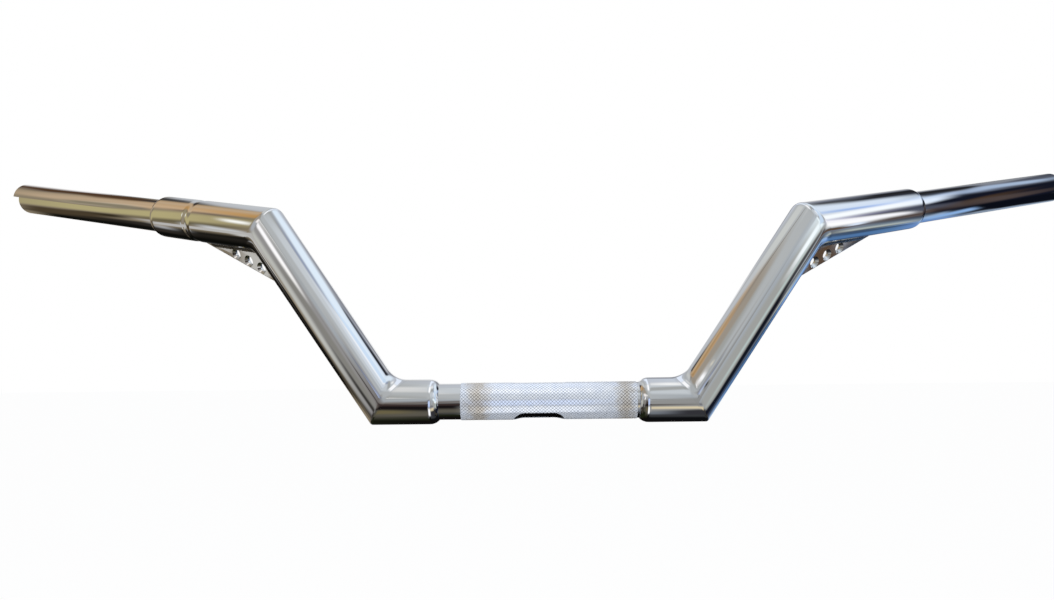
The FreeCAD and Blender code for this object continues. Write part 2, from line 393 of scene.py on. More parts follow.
def seamPoint(name, number, radius):
    bend = bends[name]
    direction, normal = spokeOn(legBefore[name], number), mitreNormal(bend)
    slide = -radius * mm * direction.dot(normal) / bend["before"].dot(normal)
    return bend["at"] + direction * (radius * mm) + bend["before"] * slide


def weldReach(name, number):
    bend = bends[name]
    inward = (bend["before"] + bend["after"]).normalized()
    flat = (inward - bend["before"] * inward.dot(bend["before"])).normalized()
    facing = (1 + flat.dot(spokeOn(legBefore[name], number))) / 2
    return (bend["outer"] + (bend["inner"] - bend["outer"]) * facing ** bend["spread"]) * mm


# A ring is a function that gives each spoke's point, so that legs and welds share their rims


def besideBend(name, way, radius):
    def place(number):
        away = weldReach(name, number) + weldBand["margin"] * mm
        return seamPoint(name, number, radius) + bends[name][way] * away
    return place


def acrossBend(name, share):
    def place(number):
        bend = bends[name]
        seam, reach = seamPoint(name, number, bar["fatRadius"]), weldReach(name, number)
        middle = (bend["before"] + bend["after"]).normalized()
        halfAngle = bend["before"].angle(bend["after"]) / 2
        centre = seam + middle * (reach / cos(halfAngle))
        first = seam + bend["before"] * reach - centre
        last = seam + bend["after"] * reach - centre
        return centre + first.slerp(last, share).normalized() * first.length
    return place


def squareEnd(leg, along, radius):
    start, way = {"clamp": (Vector(), clampWay), "arm": (upperPoint, armWay)}[leg]
    return lambda number: start + way * (along * mm) + spokeOn(leg, number) * (radius * mm)


def brimRings(leg, end, toward):  # a fat tube's dressed edge, rounded down to the collar weld
    rings = []
    for share in shares(brim["steps"]):
        drop = brim["drop"] * (1 - sqrt(1 - share ** 2))
        rings.append(squareEnd(leg, end - toward * brim["run"] * (1 - share), bar["fatRadius"] - drop))
    return rings


def grooveRings():  # the throttle stub is dressed a little hollow where it was pieced
    rings = []
    for share in shares(stubGroove["steps"]):
        aside = 2 * share - 1
        dip = stubGroove["depth"] * (0.5 + 0.5 * cos(pi * aside))
        along = stubGroove["along"] + aside * stubGroove["half"]
        rings.append(squareEnd("arm", along, bar["fatRadius"] - dip))
    return rings


def fatTubes(side):
    for bend in bends.values():  # each side's welds were dressed back their own way
        bend.update(bend[side])
    fat, hollow = bar["fatRadius"], bar["fatBore"]
    armEnd = bar["armShoulder"] - bar["collarLength"]
    layout = {
        "lower_stub": (brimRings("clamp", bar["stubStart"], -1)[::-1] + [besideBend("lower", "before", fat)],
                       [squareEnd("clamp", bar["stubStart"], hollow), besideBend("lower", "before", hollow)]),
        "riser": ([besideBend("lower", "after", fat), besideBend("upper", "before", fat)],
                  [besideBend("lower", "after", hollow), besideBend("upper", "before", hollow)]),
        "upper_stub": ([besideBend("upper", "after", fat)] + (grooveRings() if side == "throttle" else [])
                       + brimRings("arm", armEnd, 1),
                       [besideBend("upper", "after", hollow), squareEnd("arm", armEnd, hollow)]),
    }
    for name in ("lower", "upper"):
        layout[name + "_weld"] = (
            [besideBend(name, "before", fat)]
            + [acrossBend(name, share) for share in shares(weldBand["steps"])]
            + [besideBend(name, "after", fat)],
            [besideBend(name, "before", hollow), lambda number, name=name: seamPoint(name, number, hollow),
             besideBend(name, "after", hollow)])
    for node, (outerRings, innerRings) in layout.items():
        weld = node.endswith("_weld")
        bm = newRingMesh()
        drawThrough(bm, outerRings + innerRings[::-1] + outerRings[:1], spokes)
        takeSide(bm, side)
        title = side + "".join(word.capitalize() for word in node.split("_"))
        piece = addPiece(title, bm, dressedWeld if weld else polishedChrome)
        finishPiece(piece, "weld_chrome" if weld else "polished_chrome", side + "_" + node)


for side in sides:
    fatTubes(side)
print("fat tubes built")


# Collars: the ring welds that slope down to the slim tubes

collar = {"crown": 0.45, "arcSteps": 10}


def collarProfile():
    toe = Vector((0, bar["barRadius"]))
    edge = Vector((bar["collarLength"], bar["fatRadius"] - brim["drop"]))
    chord = edge - toe
    outward = Vector((-chord.y, chord.x)).normalized()
    arc = [tuple(toe + chord * share + outward * (4 * collar["crown"] * share * (1 - share)))
           for share in shares(collar["arcSteps"])]
    return [(0, bar["spigotRadius"])] + arc + [(bar["collarLength"], bar["spigotRadius"])]


def addCollar(side, end):
    start, way = {"clamp": (bar["collarStart"], 1), "grip": (bar["armShoulder"], -1)}[end]
    bm = lathe([(start + way * along, radius) for along, radius in collarProfile()])
    if end == "grip":
        bmesh.ops.transform(bm, matrix=armPlace, verts=bm.verts)
    takeSide(bm, side)
    piece = addPiece(side + end.capitalize() + "Collar", bm, dressedWeld)
    finishPiece(piece, "weld_chrome", side + "_" + end + "_weld")


for side in sides:
    for end in ("clamp", "grip"):
        addCollar(side, end)
print("collars built")


# Slim grip tubes, the throttle one cut back under a tab

gripTube = {"chamfer": 0.5, "softShare": 0.3, "notchDepth": 9.8, "notchHeight": 0.2, "cutterSize": 50.0}


def cutNotch(piece):
    size = gripTube["cutterSize"]
    block = bmesh.new()
    bmesh.ops.create_cube(block, size=1)
    bmesh.ops.scale(block, vec=(2 * gripTube["notchDepth"] * mm, size * mm, size * mm), verts=block.verts)
    bmesh.ops.translate(block, vec=(bar["armEnd"] * mm, 0, (gripTube["notchHeight"] - size / 2) * mm),
                        verts=block.verts)
    bmesh.ops.transform(block, matrix=armPlace, verts=block.verts)
    cutter = addPiece("notchCutter", block, polishedChrome)
    carve(piece, cutter, sharpAt=35)
    bpy.data.objects.remove(cutter)


def addGripTube(side):
    end, shoulder, spigot = bar["armEnd"], bar["armShoulder"], bar["spigotRadius"]
    start = shoulder - bar["collarLength"] - bar["spigotDepth"]
    bore, outer = bar["boreRadius"], bar["barRadius"]
    edge = gripTube["chamfer"]
    soft = edge * gripTube["softShare"]
    bm = lathe([(start, bore), (end - edge, bore), (end - soft, bore + soft), (end, bore + edge),
                (end, outer - edge), (end - soft, outer - soft), (end - edge, outer), (shoulder, outer),
                (shoulder, spigot), (start, spigot)])
    bmesh.ops.transform(bm, matrix=armPlace, verts=bm.verts)
    piece = addPiece(side + "GripTube", bm, polishedChrome, inside=boreSteel)
    if side == "throttle":
        cutNotch(piece)
    darkenBore(piece, upperPoint, armWay)
    if side == "throttle":
        piece.data.transform(Matrix.Scale(-1, 4, clampWay))
        piece.data.flip_normals()
    finishPiece(piece, "polished_chrome", side + "_grip_tube")


for side in sides:
    addGripTube(side)
print("grip tubes built")


# Clamp tube with its knurled band and the wiring slot

clamp = {"endTrim": 0.4}  # its spigots stop a little short of the CAD's
slot = {"length": 35.5, "width": 15.0, "tilt": 16.0, "deep": 32.0, "roundness": 0.999, "cornerSteps": 16}
knurl = {
    "throttleEnd": -55.3, "clutchEnd": 69.0, "inner": 12.5, "crest": 13.2,
    "depth": 0.22, "flank": 0.13, "crown": 0.03,
    "round": 34, "along": 49,  # diamonds
    "landHalf": 20.0, "landDrop": 0.2, "landFade": 4.0,
}


def slotCutter():
    bm = bmesh.new()
    bmesh.ops.create_cube(bm, size=1)
    bmesh.ops.scale(bm, vec=(slot["length"] * mm, slot["width"] * mm, slot["deep"] * mm), verts=bm.verts)
    bmesh.ops.translate(bm, vec=(0, 0, -slot["deep"] / 2 * mm), verts=bm.verts)
    upright = [edge for edge in bm.edges
               if abs(edge.verts[0].co.z - edge.verts[1].co.z) > slot["deep"] / 2 * mm]
    bmesh.ops.bevel(bm, geom=upright, offset=slot["width"] / 2 * mm * slot["roundness"], offset_type="OFFSET",
                    segments=slot["cornerSteps"], profile=0.5, affect="EDGES", material=-1)
    bmesh.ops.rotate(bm, cent=(0, 0, 0), matrix=Matrix.Rotation(radians(-slot["tilt"]), 3, "X"),
                     verts=bm.verts)
    return addPiece("slotCutter", bm, boreSteel)


def addClampTube(cutter):
    end = bar["stubStart"] + bar["spigotDepth"] - clamp["endTrim"]
    collarAt, spigot, outer = bar["collarStart"], bar["spigotRadius"], bar["barRadius"]
    bm = lathe([(-end, bar["boreRadius"]), (end, bar["boreRadius"]), (end, spigot), (collarAt, spigot),
                (collarAt, outer), (-collarAt, outer), (-collarAt, spigot), (-end, spigot)])
    piece = addPiece("clampTube", bm, polishedChrome, inside=boreSteel)
    carve(piece, cutter)
    darkenBore(piece, Vector(), clampWay)
    finishPiece(piece, "knurled_chrome", "clamp_tube")


def lowerLand(bm):  # the land round the slot is a little lower
    for vert in bm.verts:
        share = min(1.0, max(0.0, (knurl["landHalf"] - abs(vert.co.x) / mm) / knurl["landFade"]))
        radius = hypot(vert.co.y, vert.co.z)
        shrink = 1 - knurl["landDrop"] * mm * share * share * (3 - 2 * share) / radius
        vert.co.y, vert.co.z = vert.co.y * shrink, vert.co.z * shrink


def addKnurledBand(cutter):
    valley = (knurl["crest"] - knurl["depth"]) * mm
    bm = bmesh.new()
    start = bm.verts.new((knurl["throttleEnd"] * mm, 0, valley))
    end = bm.verts.new((knurl["clutchEnd"] * mm, 0, valley))
    line = bm.edges.new((start, end))
    bmesh.ops.subdivide_edges(bm, edges=[line], cuts=knurl["along"] - 1)
    bmesh.ops.spin(bm, geom=bm.verts[:] + bm.edges[:], cent=(0, 0, 0), axis=(1, 0, 0),
                   angle=2 * pi, steps=knurl["round"], use_merge=True)
    bmesh.ops.recalc_face_normals(bm, faces=bm.faces)
    if bm.faces[0].normal.dot(bm.faces[0].calc_center_median() * Vector((0, 1, 1))) < 0:
        bmesh.ops.reverse_faces(bm, faces=bm.faces)
    # poked cells without their old edges are diamonds
    cellEdges = [edge for edge in bm.edges if len(edge.link_faces) == 2]
    bmesh.ops.poke(bm, faces=bm.faces, offset=valley * (1 - cos(pi / knurl["round"])),
                   center_mode="MEAN")
    bmesh.ops.dissolve_edges(bm, edges=cellEdges, use_verts=False)
    lands = bm.faces[:]
    bmesh.ops.inset_individual(bm, faces=lands, thickness=knurl["flank"] * mm, depth=knurl["depth"] * mm,
                               use_even_offset=True)
    crowns = set(bmesh.ops.poke(bm, faces=lands, offset=knurl["crown"] * mm, center_mode="MEAN")["faces"])
    for face in bm.faces:
        # the crowned lands take the knurl's colour, the flanks the painted groove shade
        face.material_index = 0 if face in crowns else 1
    lowerLand(bm)
    inner, loops = growLoop(bm, [edge for edge in bm.edges if edge.is_boundary])
    shrink = knurl["inner"] * mm / valley
    bmesh.ops.scale(bm, vec=(1, shrink, shrink), verts=inner)
    bmesh.ops.bridge_loops(bm, edges=loops)
    piece = addPiece("knurledBand", bm, knurledChrome, sharpAt=25, inside=shadedKnurlGrooves)
    carve(piece, cutter, sharpAt=25)
    finishPiece(piece, "knurled_chrome")


cutter = slotCutter()
addClampTube(cutter)
addKnurledBand(cutter)
bpy.data.objects.remove(cutter)
print("clamp tube built")


# Gussets: coped plates with three countersunk holes, and rippled beads along them

plate = {
    "thickness": 4.76, "onRiser": 41.5, "onArm": 72.7,
    "sink": 1.6,  # how far its edges reach into the tubes
    "holes": 3, "hole": 5.6, "countersink": 9.0, "holeSteps": 64,
    "firstHole": 26.5, "pitch": 13.5, "fromEdge": 4.9,
    "edgeBreak": 0.6, "edgeSteps": 4,
}
plateNormal = riserWay.cross(armWay).normalized()
inwardWay = (armWay - riserWay).normalized()
cornerHalf = armWay.angle(-riserWay) / 2
plateFoot = sqrt(bar["fatRadius"] ** 2 - (plate["thickness"] / 2) ** 2)  # where its faces meet a tube


def undersideWay(way):
    return (inwardWay - way * way.dot(inwardWay)).normalized()


def underside(way, distance):
    return upperPoint + way * (distance * mm) + undersideWay(way) * (bar["fatRadius"] * mm)


def addGusset(side):
    riserEnd, armEnd = underside(-riserWay, plate["onRiser"]), underside(armWay, plate["onArm"])
    corner = upperPoint + inwardWay * (bar["fatRadius"] * mm / sin(cornerHalf))
    sink = -inwardWay * (plate["sink"] * mm)
    half = plateNormal * (plate["thickness"] / 2 * mm)
    bm = bmesh.new()
    bm.faces.new([bm.verts.new(point - half) for point in
                  (corner + sink, riserEnd + sink, riserEnd, armEnd, armEnd + sink)])
    grown = bmesh.ops.extrude_face_region(bm, geom=bm.faces[:])["geom"]
    bmesh.ops.translate(bm, vec=half * 2, verts=vertsIn(grown))
    rims = [edge for edge in bm.edges if abs((edge.verts[0].co - edge.verts[1].co).dot(half)) < 1e-9]
    bmesh.ops.bevel(bm, geom=rims, offset=plate["edgeBreak"] * mm, offset_type="OFFSET",
                    segments=plate["edgeSteps"], profile=0.5, affect="EDGES", material=-1)
    along = (armEnd - riserEnd).normalized()
    inside = plateNormal.cross(along)
    if inside.dot(corner - riserEnd) < 0:
        inside = -inside
    centres = [riserEnd + along * ((plate["firstHole"] + number * plate["pitch"]) * mm)
               + inside * (plate["fromEdge"] * mm) for number in range(plate["holes"])]
    mouth, hole = plate["countersink"] / 2, plate["hole"] / 2
    depth = half * (1 - (mouth - hole) / (plate["thickness"] / 2))
    turn = plateNormal.to_track_quat("Z", "X").to_matrix().to_4x4()
    broad = sorted(bm.faces, key=lambda face: face.calc_area())[-2:]
    rimLoops = [(face.edges[:], face.calc_center_median()) for face in broad]
    bmesh.ops.delete(bm, geom=broad, context="FACES_ONLY")
    for edges, middle in rimLoops:  # each broad face is filled again round its countersinks
        out = 1 if (middle - corner).dot(half) > 0 else -1
        for centre in centres:
            rings = []
            for radius, drop in ((mouth, half * out), (hole, depth * out)):
                made = bmesh.ops.create_circle(
                    bm, cap_ends=False, segments=plate["holeSteps"], radius=radius * mm,
                    matrix=Matrix.Translation(centre + drop) @ turn)["verts"]
                rings.append(list({edge for vert in made for edge in vert.link_edges}))
            edges += rings[0]
            bmesh.ops.bridge_loops(bm, edges=rings[0] + rings[1])
        bmesh.ops.triangle_fill(bm, use_beauty=True, edges=edges)
    loops = [edge for edge in bm.edges if edge.is_boundary]
    for centre in centres:
        own = [edge for edge in loops if (edge.verts[0].co - centre).length < mouth * mm]
        bmesh.ops.bridge_loops(bm, edges=own)
    takeSide(bm, side)
    piece = addPiece(side + "Gusset", bm, plateChrome)
    finishPiece(piece, "gusset_chrome", side + "_gusset")


bead = {
    "leg": 3.0, "bulge": 0.5, "faceSteps": 10,
    "toeSink": 0.1, "rimSink": 0.05,  # into the steel, as all of the root
    "rootSink": 0.9, "rootCorner": (-1.2, -1.0), "rootShares": (0.5, 0.6),
    "corner": 9.0, "inset": 9.0, "endTaper": 2.6, "endSwell": 0.14, "leastTip": 0.02,
    "ripple": 2.0, "pattern": (0.88, 0.97, 1.0, 0.98), "lag": 1.0,
    "waver": 0.05, "waverTurns": (2.4, 1.1),
}


def beadSpot(distance):  # the root's run: up the riser, round the corner and out along the arm
    height, reach = plateFoot * mm, bead["corner"] * mm
    corner = upperPoint + inwardWay * (height / sin(cornerHalf))
    toCorner = height / tan(cornerHalf)
    riserRun = plate["onRiser"] * mm - bead["inset"] * mm - toCorner - reach
    centre = corner + inwardWay * (reach / cos(cornerHalf))
    first, last = corner - riserWay * reach - centre, corner + armWay * reach - centre
    arcRun = first.length * first.angle(last)
    if distance < riserRun:
        return corner - riserWay * (reach + riserRun - distance), undersideWay(riserWay)
    if distance < riserRun + arcRun:
        out = first.slerp(last, (distance - riserRun) / arcRun).normalized()
        return centre + out * first.length, -out
    return corner + armWay * (reach + distance - riserRun - arcRun), undersideWay(armWay)


def beadLength():
    perLeg = bead["inset"] + plateFoot / tan(cornerHalf) + bead["corner"]
    straight = plate["onRiser"] + plate["onArm"] - 2 * perLeg
    return straight + bead["corner"] * tan(cornerHalf) * (pi - 2 * cornerHalf)


def beadFace():  # the section's points, away from the root and up the plate, each with its bulge
    leg, across = bead["leg"], plate["thickness"] / 2
    toe = sqrt(bar["fatRadius"] ** 2 - (across + leg) ** 2) - plateFoot - bead["toeSink"]
    start, end = Vector((leg, -bead["rimSink"])), Vector((toe, leg))
    outward = Vector((end - start).orthogonal()).normalized()
    if outward.dot(start) < 0:
        outward = -outward
    points = []
    for share in shares(bead["faceSteps"]):
        bulge = 4 * share * (1 - share)
        points.append((start.lerp(end, share) + outward * (bead["bulge"] * bulge), bulge))
    root, (high, wide) = Vector(bead["rootCorner"]), bead["rootShares"]
    hidden = (Vector((toe - bead["rootSink"], leg * high)), root, Vector((leg * wide, root.y)))
    return points + [(spot, 0) for spot in hidden]


def beadStations():  # how far along each ring of the bead lies, and how much it swells
    length = beadLength()
    ripples = round(length / bead["ripple"])
    quick, slow = bead["waverTurns"]
    stations = []
    for number in range(ripples):
        waver = 1 + bead["waver"] * sin(number * quick) * cos(number * slow)
        for step, swell in enumerate(bead["pattern"]):
            along = length * (number + step / len(bead["pattern"])) / ripples
            tip = min(1.0, along / bead["endTaper"], (length - along) / bead["endTaper"])
            stations.append((along, swell * waver * sqrt(max(bead["leastTip"], tip * (2 - tip)))))
    return stations + [(length, bead["endSwell"])]


def beadRing(profile, face, along, swell, lag):  # a ripple's crown lags behind its toes
    def place(number):
        spot, bulge = profile[number]
        root, away = beadSpot(max(0.0, along - lag * bulge) * mm)
        return (root + away * (spot.x * swell * mm)
                + plateNormal * (face * (plate["thickness"] / 2 + spot.y * swell) * mm))
    return place


def addBeads(side):
    stations, profile = beadStations(), beadFace()
    lags = [0] + [bead["lag"]] * (len(stations) - 2) + [0]
    bm = newRingMesh()
    for face in (1, -1):
        rings = [beadRing(profile, face, along, swell, lag) for (along, swell), lag in zip(stations, lags)]
        drawThrough(bm, rings, len(profile), capped=True)
    takeSide(bm, side)
    piece = addPiece(side + "GussetBeads", bm, shadedBeadChrome, sharpAt=50)
    finishPiece(piece, "weld_chrome", side + "_gusset_weld")


for side in sides:
    addGusset(side)
    addBeads(side)
print("gussets built")


# Studio: pale floor, soft light, and a reflection tent round the bar

studio = {
    "floorHeight": -1.0, "floorSize": 60.0,
    "floorColour": (0.95, 0.95, 0.95, 1), "floorRoughness": 0.9, "floorGlow": 0.9,
    "fillColour": (0.95, 0.97, 1.0, 1), "fillStrength": 0.9,
    "keySize": 2.4, "keyEnergy": 60.0, "keyPlace": (-1.2, -1.6, 4.0),
    "tentRadius": 1.0, "tentFineness": 8, "tentBase": "a9acaf", "tentGlow": 1.2,
    "armMiddle": 0.12,  # along the arm, in metres
}


def seenDirectly(tree):
    path = addNode(tree, "LightPath", (-600, 300))
    seen = addMath(tree, "MAXIMUM", (-400, 300), path.outputs["Is Camera Ray"], path.outputs["Is Glossy Ray"])
    return addMath(tree, "MAXIMUM", (-200, 300), seen, path.outputs["Is Transmission Ray"])


def blendShaders(tree, share, lit, bare, output):
    blend = addNode(tree, "MixShader", (300, 0), {
        "Fac": share, 1: lit.outputs[0], 2: bare.outputs[0]})
    feed(tree, tree.nodes[output], {"Surface": blend.outputs[0]})


def addFloor():
    bm = bmesh.new()
    bmesh.ops.create_grid(bm, x_segments=1, y_segments=1, size=studio["floorSize"] / 2)
    bmesh.ops.translate(bm, vec=(0, 0, studio["floorHeight"]), verts=bm.verts)
    material = bpy.data.materials.new("paleFloor")
    material.use_nodes = True
    tree = material.node_tree
    paint = tree.nodes["Principled BSDF"]
    feed(tree, paint, {"Base Color": studio["floorColour"], "Roughness": studio["floorRoughness"]})
    share = addMath(tree, "MULTIPLY", (100, 300), seenDirectly(tree), studio["floorGlow"])
    blendShaders(tree, share, paint, addNode(tree, "Emission", (0, -300)), "Material Output")
    floor = addPiece("paleFloor", bm, material)


def addWorld():
    world = bpy.data.worlds.new("studioWorld")
    bpy.context.scene.world = world
    world.use_nodes = True
    tree = world.node_tree
    fill = tree.nodes["Background"]
    feed(tree, fill, {"Color": studio["fillColour"], "Strength": studio["fillStrength"]})
    white = addNode(tree, "Background", (0, -200), {"Color": (1, 1, 1, 1)})
    blendShaders(tree, seenDirectly(tree), fill, white, "World Output")


def addKeyLight():
    lamp = bpy.data.lights.new("softKey", "AREA")
    lamp.shape, lamp.size, lamp.energy = "DISK", studio["keySize"], studio["keyEnergy"]
    key = bpy.data.objects.new("softKey", lamp)
    key.location = studio["keyPlace"]
    key.rotation_euler = (-key.location).to_track_quat("-Z", "Y").to_euler()
    key.visible_glossy = False  # the tent's panels stand for it in the chrome
    bpy.context.scene.collection.objects.link(key)


# What the chrome mirrors: soft cards painted on a round tent. Each is placed by its turn round
# a tube (0 is over it, 90 the camera's side) and its cone angle from the tube's way: centre turn,
# half width, softness, centre cone, half height, softness, slope, and its colour in the chrome
hungCards = []


def hang(station, cards):  # what is hung later is painted over the rest
    hungCards.append((station, cards))


hang("room", [  # azimuth (0 is the camera's side, 90 is +X) and height
    ("skyTop", 0, 178, 1, 90, 38, 12, 0, "cdd0d2"),
    ("skyRight", 105, 60, 8, 52, 20, 8, 0, "e3ebf4"),
    ("skyBack", 180, 40, 12, 32, 16, 12, 0, "d2d4d7"),
    ("greyFront", -10, 48, 12, 30, 24, 12, 0, "a5a9ab"),
    ("ground", 0, 178, 1, -75, 45, 8, 0, "3a372f"),
    ("blackBack", 180, 66, 12, -55, 48, 12, 0, "0c0b0a"),
    ("beigeLeft", -70, 30, 8, -14, 12, 8, 0, "b0b0a8"),
    ("greyRight", 62, 18, 6, -14, 12, 8, 0, "aab2b7"),
    ("darkRight", 90, 14, 6, -24, 9, 6, 0, "24262c"),
])
hang("throttleStub", [
    ("lowBlack", -157.5, 45, 14.5, 71, 19, 4, 0, "1b1f12"),
    ("lowEdge", -113, 10.5, 8.5, 71, 19, 4, 0, "464748"),
    ("upperGrey", -37.5, 54.5, 8, 71, 19, 4, 0, "bdbfc3"),
    ("whiteCard", 21.5, 12, 8, 71, 19, 4, 0, "dbdcd8"),
    ("greyCard", 64.5, 26.5, 6.5, 71, 19, 4, 0, "a6a8a7"),
    ("darkCard", 110.5, 18.5, 8, 71, 19, 4, 0, "221c1b"),
    ("oliveCard", 144, 19, 6, 71, 19, 4, 0, "525045"),
    ("oliveWarm", 140, 11, 7.5, 73, 4, 2, 0.1, "696044"),
])
hang("clutchStub", [
    ("lowBlack", -148, 41, 14.5, 71, 19, 4, 0, "0c0d0f"),
    ("upperGrey", -48.5, 44, 10.5, 71, 19, 4, 0, "b5b8bf"),
    ("paleLoft", -19.5, 7, 7, 71, 19, 4, 0, "d5dbe0"),
    ("whiteCard", 1, 11.5, 6.5, 77, 2, 2.5, 0.3, "f7f7f4"),
    ("greyCard", 28, 10.5, 6, 71, 19, 4, 0, "a09f9a"),
    ("farGrey", 56.5, 21, 8.5, 71, 19, 4, 0, "b5babd"),
    ("lowGrey", 83.5, 17.5, 9, 71, 19, 4, 0, "979fa6"),
    ("dark", 111, 6, 6, 71, 19, 4, 0, "67656c"),
    ("creamCard", 128, 6, 4.5, 71, 19, 4, 0, "d4c7a5"),
    ("under", 159.5, 19, 8.5, 71, 19, 4, 0, "323236"),
    ("underPale", 156, 12, 9, 80, 3, 2, 0.1, "6f747b"),
])
hang("throttleRiser", [
    ("fill", 0, 178, 1, 80, 17, 5, 0, "918f8d"),
    ("blackSide", -153.5, 20.5, 12.5, 80, 16.5, 5, 0.7, "2e2923"),
    ("blackUnder", -166.5, 9.5, 11, 73, 5, 3, 0.2, "332417"),
    ("paleEdge", -92, 23, 16, 81.5, 16.5, 5, 0.5, "dee0e2"),
    ("greyRoof", -43, 11.5, 10, 85, 7.5, 6.5, -0.9, "6a7182"),
    ("paleRoof", -53, 20, 9.5, 70.5, 6, 7.5, -0.7, "bdc4d2"),
    ("skyTop", -1, 25, 13.5, 80, 18.5, 5, -1.5, "deebf6"),
    ("blueLine", 19.5, 5, 7, 74, 5, 4, -1.2, "8b97b0"),
    ("whiteSky", 29, 7, 4.5, 87, 6.5, 4, 0.5, "f8fafd"),
    ("skyFront", 45.5, 16.5, 7.5, 80, 20, 3.5, -0.2, "ced5dc"),
    ("greyCard", 72.5, 17.5, 11.5, 79.5, 17.5, 6, -0.4, "aab0b5"),
    ("darkCard", 83, 7, 6, 89, 5, 2, 0.1, "5d5554"),
    ("flash", 109.5, 9.5, 7, 72, 5, 2.5, -1.2, "fffdfc"),
    ("flashTail", 114, 1.5, 6.5, 75, 2, 2.5, 0, "f1eee3"),
    ("darkWall", 131.5, 13.5, 7.5, 83, 9.5, 3, 0, "82807a"),
    ("darkLow", 147.5, 8, 6, 90.5, 7, 6.5, 0.7, "363431"),
    ("wall", 162.5, 15, 11.5, 75.5, 11.5, 5, -0.8, "b9b9b2"),
])
hang("clutchRiser", [
    ("fill", 0, 178, 1, 80, 17, 5, 0, "9fa09c"),
    ("blackSide", 180, 16, 7, 83, 12, 4, -0.7, "141720"),
    ("underPale", -178.5, 7, 5.5, 71.5, 4.5, 2.5, -0.1, "a6a9a8"),
    ("blueCard", -143.5, 15, 8.5, 80.5, 12, 3.5, -0.4, "79a0cf"),
    ("deepBlue", -127, 15, 8, 71.5, 3.5, 3, -0.2, "576a8f"),
    ("paleBlue", -120, 12.5, 7.5, 85, 8.5, 5, -0.1, "a9c2df"),
    ("whiteEdge", -76.5, 22.5, 10.5, 85, 8.5, 5.5, -0.4, "fdfdfd"),
    ("paleRoof", -76.5, 14.5, 9.5, 72, 4, 4, 0, "cbcdd1"),
    ("greyRoof", -34, 15, 10.5, 80, 12.5, 1.5, 0.3, "b5b8be"),
    ("warmWall", 5, 10, 6.5, 86, 7.5, 5, 0.2, "ba976e"),
    ("warmDim", 12, 8, 6, 78, 4, 3, 0.2, "8c8174"),
    ("wall", 27.5, 14.5, 7.5, 80, 19.5, 7, 0.1, "9a9184"),
    ("frontSky", 88.5, 22.5, 10, 80, 22, 6.5, 0.1, "a3a9ae"),
    ("darkCard", 83, 5.5, 4.5, 89.5, 4, 3, 0.1, "7e7c7c"),
    ("flash", 134, 10, 6, 71, 3.5, 3, -0.2, "f9feff"),
    ("greenish", 150, 5.5, 5, 80.5, 10, 5.5, -0.2, "b4c1bd"),
    ("darkLine", 165.5, 4.5, 4, 73, 3.5, 3, 0.1, "444549"),
])
hang("throttleArm", [
    ("fill", 0, 178, 1, 27, 30, 9.5, 0, "867a66"),
    ("black", -161, 45.5, 14, 35, 12.5, 2, 1.1, "0a0a08"),
    ("greyLow", -118, 16, 3.5, 42, 11, 11.5, -0.5, "1b1c1d"),
    ("roofInner", -47.5, 33, 13.5, 43.5, 8, 1.5, -1.4, "adafb4"),
    ("roofGrip", -71, 10.5, 5.5, 30, 3.5, 5.5, -1.7, "858b94"),
    ("roofFar", -60, 25.5, 14, 22, 6, 3.5, 1.8, "e7e5e5"),
    ("darkBrown", -25, 18, 14, 32.5, 7.5, 2, -0.8, "353333"),
    ("brownFar", -8.5, 15, 12, 26.5, 5, 2, 0.3, "482c14"),
    ("tan", 19, 19.5, 10, 42, 10.5, 10.5, -0.2, "bd8f50"),
    ("tanGrip", 35.5, 12, 13, 33.5, 9, 6, -0.3, "c4a784"),
    ("tanFar", 52, 15.5, 13, 23, 7, 5.5, 1, "beb49f"),
    ("brownLine", 50, 6, 8, 44, 5, 4.5, -0.2, "544849"),
    ("brownLineGrip", 59, 7, 12, 29.5, 4, 1.5, 0.8, "746a5c"),
    ("khaki", 91.5, 23, 11.5, 32.5, 14, 11, 1.6, "afa477"),
    ("flash", 71, 7, 8.5, 45, 2, 1.5, -0.7, "fffff9"),
    ("lowLine", 110.5, 8.5, 12.5, 39, 6, 4.5, 1.6, "5e573f"),
    ("beige", 122, 9, 8.5, 43, 3, 1.5, -0.8, "c4c6c7"),
    ("glint", 158, 7, 14, 36.5, 1.5, 1.5, -1.8, "ededed"),
    ("brownGrip", 140, 11.5, 9.5, 29, 3, 2, 2.4, "181204"),
    ("underGrip", 164, 6.5, 12, 30, 7.5, 2.5, -2, "574e45"),
    ("underFar", 164, 27, 12, 25.5, 4.5, 2, 1.4, "463b2b"),
])
